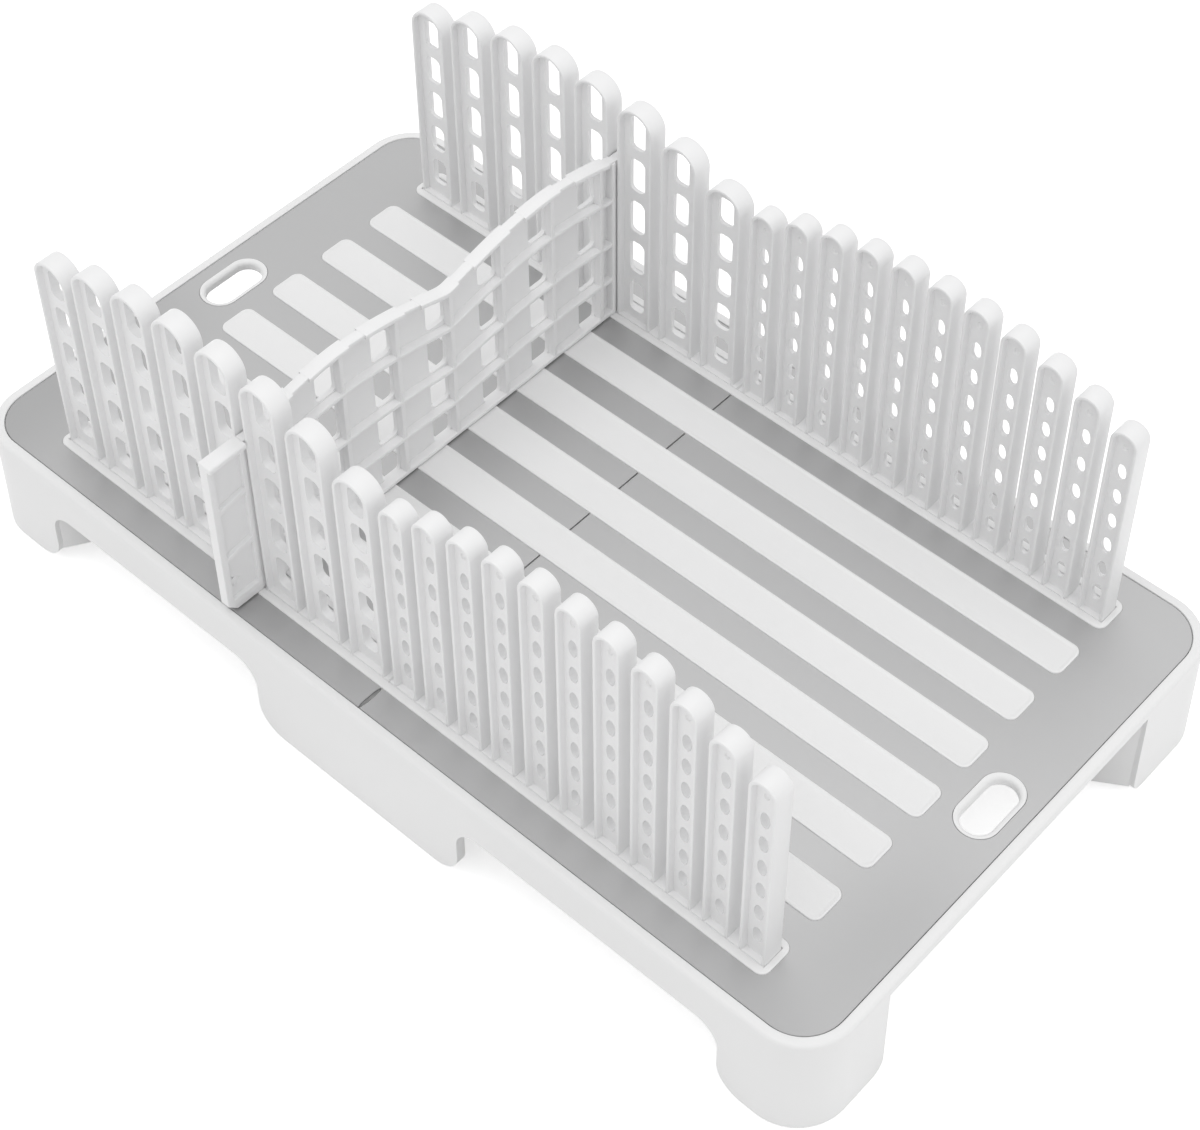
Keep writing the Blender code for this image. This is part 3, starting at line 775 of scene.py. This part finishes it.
root = {
    "drop": 0.0001,             # its top, below the steel
    "seamGap": 0.00004,         # from the middle of the table, where two combs meet
    "footRound": 0.0006,
    "footReach": 0.0020,        # edges farther below the deck than this are the foot's
    "topRound": 0.00012,
    "spineGap": 0.0003,         # from the spine between the fingers up to the stop
    "spineRise": 0.0020,
    "spineRound": 0.0002,
}
halfField = combHigh.x + finger["knifeGap"] / 2


def holesOf(comb, height):
    # middle height, half width and half height of each hole, above the deck
    count = comb["holeCount"] + (height > comb["extraHoleFrom"])
    step = (height - comb["holeTopDrop"] - comb["holeFirst"]) / (count - 1)
    halfHeight = comb["holeHalfHeight"] if "holeHalfHeight" in comb else (step - comb["holeBridge"]) / 2
    return [(comb["holeFirst"] + index * step, comb["holeHalfWidth"], halfHeight) for index in range(count)]


def makeFinger(comb, width, height, sideY):
    # one finger about x = 0, from the deck up: a round-topped frame round a thin web with holes
    shape = bmesh.new()
    half = finger["depth"] / 2
    addBlock(shape, (-width / 2, -half, -finger["wall"] - finger["draft"]), (width / 2, half, height))
    roundEdges(shape, lambda edge: runsAlong(edge, 1) and isAbove(edge, height - tiny),
               width / 2 * finger["tipShare"], finger["tipSegments"])
    bmesh.ops.remove_doubles(shape, verts=shape.verts, dist=tiny)
    inner, outer = finger["recess"][sideY]
    for facing, recess in ((-sideY, inner), (sideY, outer)):
        faces = facesWhere(shape, lambda face: face.normal.y * facing > 0.9)
        bmesh.ops.inset_region(shape, faces=faces, thickness=finger["wall"], use_even_offset=True)
        bmesh.ops.inset_region(shape, faces=faces, thickness=finger["draft"], depth=-recess, use_even_offset=True)
    webs = facesWhere(shape, lambda face: abs(face.normal.y) > 0.9
                      and abs(face.calc_center_median().y) < half - inner / 2)
    standing = Matrix.Rotation(math.pi / 2, 3, "X")
    rings = []
    for face in webs:
        level = face.calc_center_median().y
        side = math.copysign(1, face.normal.y)
        outline = list(face.edges)
        bmesh.ops.delete(shape, geom=[face], context="FACES_ONLY")
        loops = []
        for middle, halfX, halfZ in holesOf(comb, height):
            place = (0, level, middle)
            if "holeCorner" in comb:
                loops.append(addRing(shape, place, halfX, halfZ, comb["holeCorner"], comb["ringSegments"], standing))
            else:
                loops.append(addOval(shape, place, halfX, halfZ, comb["ringSegments"], standing))
        if "dimpleDrop" in comb:
            z, segments = height - comb["dimpleDrop"], comb["dimpleSegments"]
            rim = addOval(shape, (0, level, z), *comb["dimpleRim"], segments, standing)
            bed = addOval(shape, (0, level - side * comb["dimpleDepth"], z), *comb["dimpleBed"], segments, standing)
            bmesh.ops.bridge_loops(shape, edges=rim + bed)
            bmesh.ops.contextual_create(shape, geom=bed)
            outline += rim
        bmesh.ops.triangle_fill(shape, use_beauty=True, normal=(0, side, 0),
                                edges=outline + [edge for loop in loops for edge in loop])
        rings.append(loops)
    for front, back in zip(*rings):
        bmesh.ops.bridge_loops(shape, edges=front + back)
    bmesh.ops.recalc_face_normals(shape, faces=shape.faces)

    def rim(edge):
        return (all(abs(vert.co.y) > half - tiny for vert in edge.verts) and isBent(edge)
                and max(vert.co.z for vert in edge.verts) > tiny)

    roundEdges(shape, rim, finger["edgeRound"], 2)
    return shape


def addRoot(shape, comb, low, high):
    # the foot that stands in the socket, with one end at the middle of the table
    fresh = bmesh.new()
    top = deckTop - root["drop"]
    near, far = sorted((comb["side"] * root["seamGap"], low.x if comb["side"] < 0 else high.x))
    addBlock(fresh, (near, low.y, low.z), (far, high.y, top))
    roundEdges(fresh, lambda edge: all(vert.co.z < deckTop - root["footReach"] for vert in edge.verts),
               root["footRound"], 2)
    roundEdges(fresh, lambda edge: isBent(edge) and isAbove(edge, top - tiny), root["topRound"], 2)
    pour(fresh, shape)


def addSpine(shape, y, low, high):
    # a wall inside the root that fills the gaps between the fingers up to just under the bread stop
    half = finger["depth"] / 2
    top = stopLow.z - root["spineGap"]
    addRoundedBlock(shape, (low.x + tiny, y - half, low.z + root["spineRise"]), (high.x - tiny, y + half, top),
                    root["spineRound"], 2, lambda edge: runsAlong(edge, 0) and isAbove(edge, top - tiny))


def makeComb(name, comb, sideY, body, node):
    low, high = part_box(node)
    y = sideY * combY
    pitch = halfField / comb["count"]
    width = pitch - finger["knifeGap"] + finger["extraWidth"]
    shape = bmesh.new()
    for index in range(comb["count"]):
        offset = (index - (comb["count"] - 1) / 2) * pitch
        drop = finger["crownRadius"] - math.sqrt(finger["crownRadius"] ** 2 - offset ** 2)
        part = makeFinger(comb, width, comb["crown"] - drop, sideY)
        spot = (comb["side"] * halfField / 2 + offset, y, deckTop)
        bmesh.ops.translate(part, verts=part.verts, vec=spot)
        pour(part, shape)
    addRoot(shape, comb, low, high)
    addSpine(shape, y, low, high)
    finishPiece(name, shape, combWhite, body, [node])


for sideY, place in ((-1, "front"), (1, "back")):
    makeComb(place + "WideComb", wideComb, sideY, place + "_wide_comb", "comb_%s_wide" % place)
    makeComb(place + "NarrowComb", narrowComb, sideY, place + "_narrow_comb", "comb_%s_narrow" % place)
print("combs made")


# The bread stop: a thin plate with a flange, rails, ribs and windows, and a wing outside the front comb

hair = 0.0001               # sets faces apart that would coincide
stop = {
    "depth": 0.0044,
    "narrowDepth": 0.0031,      # the flange between its wide parts
    "wideHalf": 0.0072,
    "wideShift": -0.0034,       # a wide part's middle, from the rib's column
    "wideLeast": 0.0020,        # shorter ones at the ends are left out
    "wideStand": 0.00005,
    "wideShare": 1.05,          # of the flange's thickness
    "wideCuts": 12,
    "panel": (-0.0020, -0.0007),    # the plate's two faces, from the middle of the flange
    "tongue": 0.0026,
    "tongueLap": 0.0006,        # how far the tongues reach into the plate and the wing
    "tongueDrop": 0.0004,
    "crown": 0.0662,            # heights above the deck
    "dip": 0.0590,
    "shoulder": 0.0606,
    "crownAt": 0.0380,          # distance of the humps from the middle
    "dipRound": 0.0030,
    "humpPower": 0.85,
    "fallPower": 1.6,
    "rim": 0.0015,
    "rib": 0.0015,
    "ribInset": (0.0004, 0.0005),   # from the flange's two edges
    "endInset": 0.0003,
    "rails": (0.235, 0.47, 0.75),
    "railDepth": 0.0040,
    "windowWidth": 0.0070,
    "windowMargin": 0.0012,
    "windowCorner": 0.0016,
    "combGap": 0.0003,
    "edgeRound": 0.0003,
    "cuts": 60,
}
wing = {
    "height": 0.0605,           # above the deck
    "reach": 0.0128,
    "topBar": (-0.0016, 0.0032, 0.0020),    # its two faces, and its thickness
    "panel": (-0.0013, 0.0002),
    "panelInset": 0.0004,       # from the frame's outline
    "frame": (-0.0014, 0.0016),
    "frameDrop": 0.0006,        # from the top bar's top
    "rails": (0.36, 0.68),
    "railRise": 0.0020,         # the rails climb towards the comb
    "railThickness": 0.0022,
    "railInset": (0.0010, 0.0005),  # from the outer edge, and from the comb
    "edge": 0.0022,             # width of the frame at the outer side, foot, comb and top
    "footEdge": 0.0040,
    "rootEdge": 0.0014,
    "topEdge": 0.0010,
    "frameRound": 0.0004,
    "capRound": 0.0005,
    "toe": 0.0030,
    "hole": (0.0030, 0.0042),   # width and height of the small three-cornered hole
    "holeSpot": (0.0044, 0.0098),   # from the outer edge, and above the foot
}
stopX = (stopLow.x + stopHigh.x) / 2
stopFoot = stopLow.z
stopFace = combY - finger["depth"] / 2 - stop["combGap"]
wingRoot = -(combY + finger["depth"] / 2 + stop["combGap"])


def stopTop(y):
    # height of the stop's edge: two humps with a dip between them
    across = math.hypot(y, stop["dipRound"]) - stop["dipRound"]
    if across <= stop["crownAt"]:
        rise = math.sin(math.pi / 2 * across / stop["crownAt"]) ** stop["humpPower"]
        return deckTop + stop["dip"] + (stop["crown"] - stop["dip"]) * rise
    share = (across - stop["crownAt"]) / (stopFace - stop["crownAt"])
    return deckTop + stop["crown"] - (stop["crown"] - stop["shoulder"]) * share ** stop["fallPower"]


def stopLevel(y, share):
    return stopFoot + (stopTop(y) - stopFoot) * share


def sliceAlongY(shape, near, far, cuts):
    for index in range(1, cuts):
        bmesh.ops.bisect_plane(shape, geom=shape.verts[:] + shape.edges[:] + shape.faces[:],
                               plane_co=(0, near + (far - near) * index / cuts, 0), plane_no=(0, 1, 0))


def addBentBar(shape, near, far, lowX, highX, thickness, heightAt, cuts):
    # a bar along Y that follows a curve, with softened long edges; heightAt gives its top
    fresh = bmesh.new()
    addBlock(fresh, (stopX + lowX, near, -thickness), (stopX + highX, far, 0))
    roundEdges(fresh, lambda edge: runsAlong(edge, 1), stop["edgeRound"], 2)
    sliceAlongY(fresh, near, far, cuts)
    for vert in fresh.verts:
        vert.co.z += heightAt(vert.co.y)
    pour(fresh, shape)


def addUpright(shape, lowX, highX, near, far, bottom, top):
    # an upright bar or panel with softened edges
    addRoundedBlock(shape, (stopX + lowX, near, bottom), (stopX + highX, far, top), stop["edgeRound"], 2)


def addStopPlate(shape, columns):
    # the thin panel with rows of windows, under the flange
    panel = bmesh.new()
    lowX, highX = stop["panel"]
    addBlock(panel, (stopX + lowX, -stopFace, stopFoot + 2 * hair), (stopX + highX, stopFace, stopFoot + past))
    sliceAlongY(panel, -stopFace, stopFace, stop["cuts"])
    for vert in panel.verts:
        if vert.co.z > stopFoot + past / 2:
            vert.co.z = stopTop(vert.co.y) - stop["rim"] / 2
    cutter = bmesh.new()
    for far in columns:
        far -= hair                         # the window ends just short of the rib
        near = far - stop["windowWidth"]
        if near < -stopFace + stop["rib"]:
            continue
        shares = (0.0,) + stop["rails"] + (1.0,)
        for lower, upper in zip(shares, shares[1:]):
            low = max(stopLevel(near, lower), stopLevel(far, lower)) + stop["windowMargin"]
            high = min(stopLevel(near, upper), stopLevel(far, upper)) - stop["windowMargin"]
            addRoundedBlock(cutter, (stopX - past, near, low), (stopX + past, far, high), stop["windowCorner"], 5,
                            lambda edge: runsAlong(edge, 0))
    pour(carve(panel, cutter), shape)


def makeStop():
    shape = bmesh.new()
    columns = [index * deckBars["pitch"] for index in range(-3, 4)]
    addStopPlate(shape, columns)
    rim, half, cuts = stop["rim"], stop["depth"] / 2, stop["cuts"]
    end = stopFace - tiny
    narrow = stop["narrowDepth"] / 2
    addBentBar(shape, -end, end, -narrow, narrow, rim, stopTop, cuts)
    for column in columns + [columns[-1] + deckBars["pitch"]]:
        middle = column + stop["wideShift"]
        near, far = max(middle - stop["wideHalf"], -end + tiny), min(middle + stop["wideHalf"], end - tiny)
        if far - near > stop["wideLeast"]:
            addBentBar(shape, near, far, -half, half, rim * stop["wideShare"],
                       lambda y: stopTop(y) + stop["wideStand"], stop["wideCuts"])
    rail = (-end + 2 * tiny, end - 2 * tiny, -half + hair, stop["railDepth"] - half, rim)
    addBentBar(shape, *rail, lambda y: stopFoot + rim, 1)
    for share in stop["rails"]:
        addBentBar(shape, *rail, lambda y: stopLevel(y, share) + rim / 2, cuts)
    back, front = stop["ribInset"]
    for column in columns:
        addUpright(shape, -half + back, half - front, column, column + stop["rib"], stopFoot + rim / 2,
                   stopTop(column) - rim / 2)
    inset = stop["endInset"]
    for side in (-1, 1):
        near, far = sorted((side * (end - stop["rib"]), side * (end - 3 * tiny)))
        addUpright(shape, -half + inset, half - inset, near, far, stopFoot + 2 * tiny, stopTop(far) - rim / 3)
    addTongues(shape)
    addWing(shape)
    finishPiece("breadStopPlate", shape, combWhite, "stop", ["bread_stop"])


def addTongues(shape):
    # the narrow parts that stand in the gaps of the combs
    half = stop["tongue"] / 2
    lap = stop["tongueLap"]
    for near, far, top in ((wingRoot - lap, -stopFace + lap, deckTop + wing["height"] - lap),
                           (stopFace - lap, stopHigh.y, stopTop(stopFace) - stop["tongueDrop"])):
        addUpright(shape, -half, half, near, far, stopFoot + 3 * tiny, top)


def addWing(shape):
    tip = wingRoot - wing["reach"]
    top = deckTop + wing["height"]
    lowX, highX = wing["frame"]
    slope = wing["railRise"] / wing["reach"]

    def toe(edge):
        # the outer lower edge, which is cut off at a slant
        spot = edge.verts[0].co
        return runsAlong(edge, 0) and spot.z < stopFoot + 10 * hair and spot.y < tip + 10 * hair

    panel = bmesh.new()
    inset = wing["panelInset"]
    addRoundedBlock(panel, (stopX + wing["panel"][0], tip + inset, stopFoot + inset),
                    (stopX + wing["panel"][1], wingRoot - inset / 2, top - inset), wing["toe"], 1, toe)
    hole = bmesh.new()
    bmesh.ops.create_cone(hole, cap_ends=True, segments=3, radius1=0.5, radius2=0.5, depth=2 * past)
    bmesh.ops.rotate(hole, verts=hole.verts, cent=(0, 0, 0), matrix=Matrix.Rotation(math.pi / 2, 3, "Y"))
    # a triangle in a circle of radius 0.5 is 0.75 by 0.87
    bmesh.ops.scale(hole, verts=hole.verts, vec=(1, wing["hole"][0] / 0.75, wing["hole"][1] / 0.87))
    bmesh.ops.translate(hole, verts=hole.verts,
                        vec=(stopX, tip + wing["holeSpot"][0], stopFoot + wing["holeSpot"][1]))
    pour(carve(panel, hole), shape)

    border = bmesh.new()
    addRoundedBlock(border, (stopX + lowX, tip, stopFoot), (stopX + highX, wingRoot, top - wing["frameDrop"]),
                    wing["toe"], 1, toe)
    inside = bmesh.new()
    addBlock(inside, (stopX - past, tip + wing["edge"], stopFoot + wing["footEdge"]),
             (stopX + past, wingRoot - wing["rootEdge"], top - wing["topEdge"]))
    border = carve(border, inside)
    mergeFlat(border)
    roundEdges(border, isBent, wing["frameRound"], 3)
    pour(border, shape)

    outward, inward = wing["railInset"]
    for share in wing["rails"]:
        addBentBar(shape, tip + outward, wingRoot - inward, lowX + hair, highX - hair, wing["railThickness"],
                   lambda y: deckTop + wing["height"] * share + slope * (y - tip), 1)
    nearX, farX, thickness = wing["topBar"]
    addRoundedBlock(shape, (stopX + nearX, tip - hair, top - thickness), (stopX + farX, wingRoot, top),
                    wing["capRound"], 3, lambda edge: True)


makeStop()
print("bread stop made")


# The rubber pads under the feet

pad = {
    "thickness": 0.0013,
    "groove": 0.0005,
    "grooveRadii": (0.0047, 0.0042, 0.0026, 0.0021),
    "edgeRound": 0.0004,
    "segments": 48,
    "stemRadii": (0.0034, 0.0032),
    "stemFrom": 0.0010,         # above the floor
    "stemSegments": 32,
}


def makePad(number):
    low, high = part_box("foot_pad_%d" % number)
    radius = widest = (high.x - low.x) / 2
    middle = (low + high) / 2
    shape = bmesh.new()
    bmesh.ops.create_circle(shape, cap_ends=True, segments=pad["segments"], radius=radius)
    underside = shape.faces[:]
    for ring in pad["grooveRadii"]:
        bmesh.ops.inset_region(shape, faces=underside, thickness=radius - ring, use_even_offset=True)
        radius = ring
    for vert in shape.verts:
        if any(abs(vert.co.xy.length - ring) < tiny for ring in pad["grooveRadii"][1:3]):
            vert.co.z += pad["groove"]
    wall = bmesh.ops.extrude_edge_only(shape, edges=edgesWhere(shape, lambda edge: edge.is_boundary))["geom"]
    raised = [part for part in wall if isinstance(part, bmesh.types.BMVert)]
    bmesh.ops.translate(shape, verts=raised, vec=(0, 0, pad["thickness"]))
    bmesh.ops.contextual_create(shape, geom=edgesWhere(shape, lambda edge: edge.is_boundary))

    def outer(edge):
        return isBent(edge, 1.0) and all(vert.co.xy.length > widest - tiny for vert in edge.verts)

    roundEdges(shape, outer, pad["edgeRound"], 3)
    stem = bmesh.new()
    addCone(stem, (0, 0), pad["stemRadii"], pad["stemFrom"], high.z, pad["stemSegments"])
    pour(stem, shape)
    bmesh.ops.translate(shape, verts=shape.verts, vec=(*middle.xy, 0))
    node = "foot_pad_%d" % number
    finishPiece("rubberPad%d" % number, shape, padGrey, "table", [node])


for number in range(1, 7):
    makePad(number)
print("pads made")


# The stage: white floor, even light, and the photograph's camera

stage = {
    "floorWhite": 0.9,
    "floorDrop": 0.0003,        # below the pads
    "floorHalf": 6.0,
    "floorRoughness": 0.9,
    "backdrop": 0.58,           # what the camera sees of the floor before any light falls on it
    "ambient": 0.74,
    "lampPower": 9.5,
    "lampSize": 1.6,
    "lampSpot": (0.0, -0.20, 1.7),
    "lampAim": (0.0, 0.0, 0.05),
    "fillPower": 1.4,
    "fillSize": 1.2,
    "fillSpot": (1.3, 0.5, 0.5),
}


def seenRays(tree):
    # 1 for what the camera sees, straight, mirrored or through something clear, and 0 for other light
    rays = newNode(tree, "ShaderNodeLightPath").outputs
    seen = addMath(tree, "MAXIMUM", rays["Is Camera Ray"], rays["Is Glossy Ray"])
    return addMath(tree, "MAXIMUM", seen, rays["Is Transmission Ray"])


def makeFloor():
    shape = bmesh.new()
    bmesh.ops.create_grid(shape, x_segments=1, y_segments=1, size=stage["floorHalf"])
    bmesh.ops.translate(shape, verts=shape.verts, vec=(0, 0, -stage["floorDrop"]))
    floor = looseObject("floor", shape)
    material, tree, shader = newMaterial("floorWhite")
    setInputs(shader, {"Base Color": (*(stage["floorWhite"],) * 3, 1.0), "Roughness": stage["floorRoughness"],
                       "Specular IOR Level": 0.0, "Emission Color": (1, 1, 1, 1)})
    glow = addMath(tree, "MULTIPLY", seenRays(tree), stage["backdrop"])
    tree.links.new(glow, shader.inputs["Emission Strength"])
    floor.data.materials.append(material)


def makeWorld():
    world = bpy.data.worlds.new("studio")
    bpy.context.scene.world = world
    world.use_nodes = True
    tree = world.node_tree
    backdrop = tree.nodes["Background"]
    setInputs(backdrop, {"Color": (1, 1, 1, 1)})
    level = newNode(tree, "ShaderNodeMapRange")
    setInputs(level, {"To Min": stage["ambient"]})
    tree.links.new(seenRays(tree), level.inputs["Value"])
    tree.links.new(level.outputs[0], backdrop.inputs["Strength"])


def makeLamp(name, spot, power, size):
    lamp = bpy.data.lights.new(name, "AREA")
    lamp.energy = power
    lamp.size = size
    holder = bpy.data.objects.new(name, lamp)
    holder.location = spot
    aim = Vector(stage["lampAim"]) - Vector(spot)
    holder.rotation_euler = aim.to_track_quat("-Z", "Y").to_euler()
    bpy.context.scene.collection.objects.link(holder)


camera = {                      # fitted to the photograph
    "lens": 80.564,             # millimetres, on a sensor of the width below
    "sensor": 36.0,
    "shift": (-0.05618, -0.16807),
    "place": (0.33570, -0.35672, 0.57616),      # in metres, above the deck
    "right": (0.751496, 0.659604, 0.013317),
    "down": (0.483527, -0.536932, -0.691308),
    "forward": (-0.448839, 0.525954, -0.722438),
}


def makeCamera():
    lens = bpy.data.cameras.new("photoCamera")
    lens.sensor_fit = "HORIZONTAL"
    lens.sensor_width = camera["sensor"]
    lens.lens = camera["lens"]
    lens.shift_x, lens.shift_y = camera["shift"]
    lens.clip_start = 0.01
    holder = bpy.data.objects.new("photoCamera", lens)
    right, down, forward = (Vector(camera[key]).normalized() for key in ("right", "down", "forward"))
    turn = Matrix((right, -down, -forward)).transposed().to_4x4()
    holder.matrix_world = Matrix.Translation(Vector(camera["place"]) + Vector((0, 0, deckTop))) @ turn
    bpy.context.scene.collection.objects.link(holder)
    bpy.context.scene.camera = holder


makeFloor()
makeWorld()
makeLamp("softKey", stage["lampSpot"], stage["lampPower"], stage["lampSize"])
makeLamp("softFill", stage["fillSpot"], stage["fillPower"], stage["fillSize"])
makeCamera()
bpy.context.scene.view_settings.view_transform = "Standard"
print("stage set")
